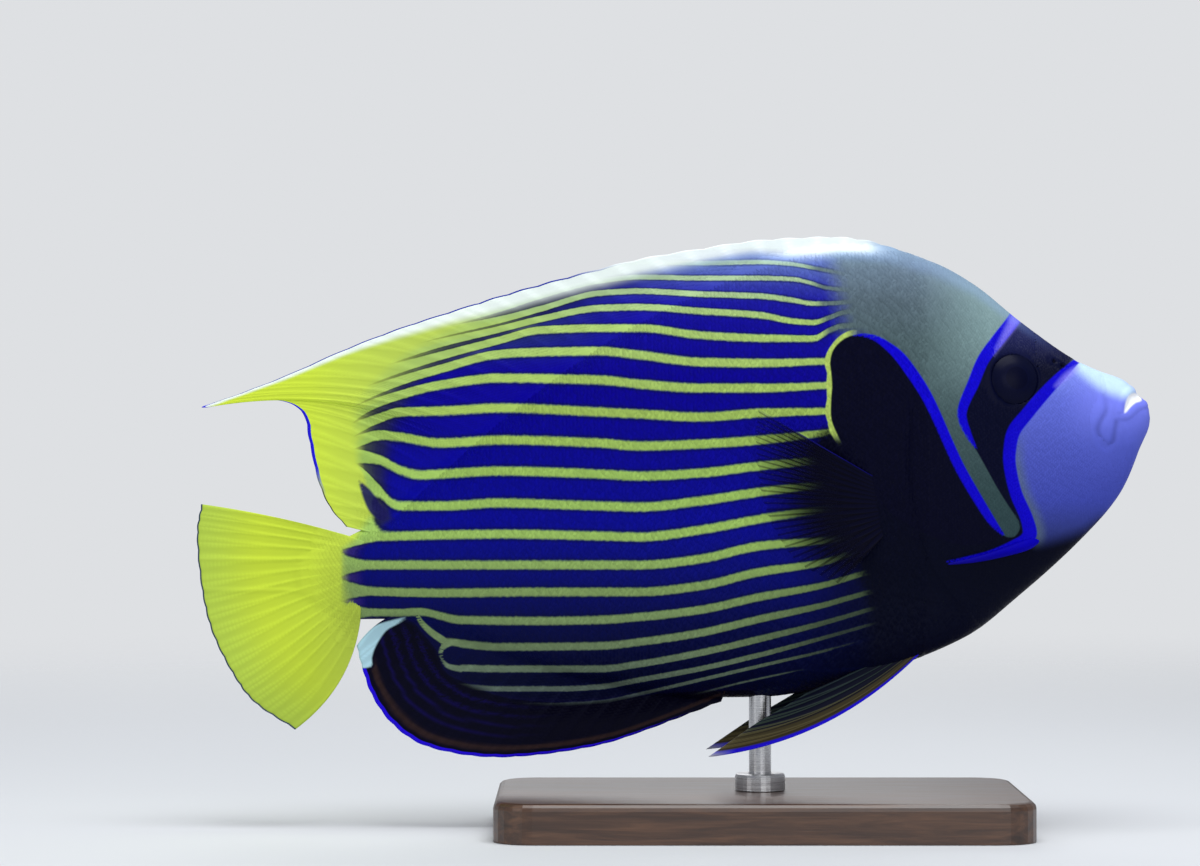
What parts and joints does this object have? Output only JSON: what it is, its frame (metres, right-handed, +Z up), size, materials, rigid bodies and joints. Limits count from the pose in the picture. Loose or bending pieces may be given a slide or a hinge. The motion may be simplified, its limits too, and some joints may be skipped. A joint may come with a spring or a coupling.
{
  "type": "emperor angelfish model on a stand",
  "caption": "Life-size still model of a deep-bodied reef fish with spread fins, held above a flat rectangular base by one short rod.",
  "frame": {"origin": "centre of the flat underside of the stand's base, straight below the rod", "axes": "+X the way the fish faces, +Y towards its left side, +Z up"},
  "size_m": [0.3432, 0.112, 0.2133],
  "materials": {
    "face_skin": "satin blue-violet fish skin with fine scales",
    "flank_skin": "satin deep blue fish skin with fine scales and yellow lines",
    "yellow_skin": "satin greenish yellow fish skin over fine rays",
    "navy_fin": "satin blue-black fin membrane over fine rays",
    "eye": "glossy near-black eye",
    "stand_wood": "dark stained wood, satin",
    "stand_metal": "brushed steel"
  },
  "bodies": {
    "root": {"head": "face_skin", "trunk": "flank_skin", "tail_stock": "yellow_skin", "eye_right": "eye", "eye_left": "eye", "dorsal_fin": "yellow_skin", "anal_fin": "navy_fin", "caudal_fin": "yellow_skin", "pectoral_fin_right": "navy_fin", "pectoral_fin_left": "navy_fin", "pelvic_fin_right": "navy_fin", "pelvic_fin_left": "navy_fin", "stand_base": "stand_wood", "stand_rod": "stand_metal", "stand_collar": "stand_metal"}
  },
  "joints": []
}
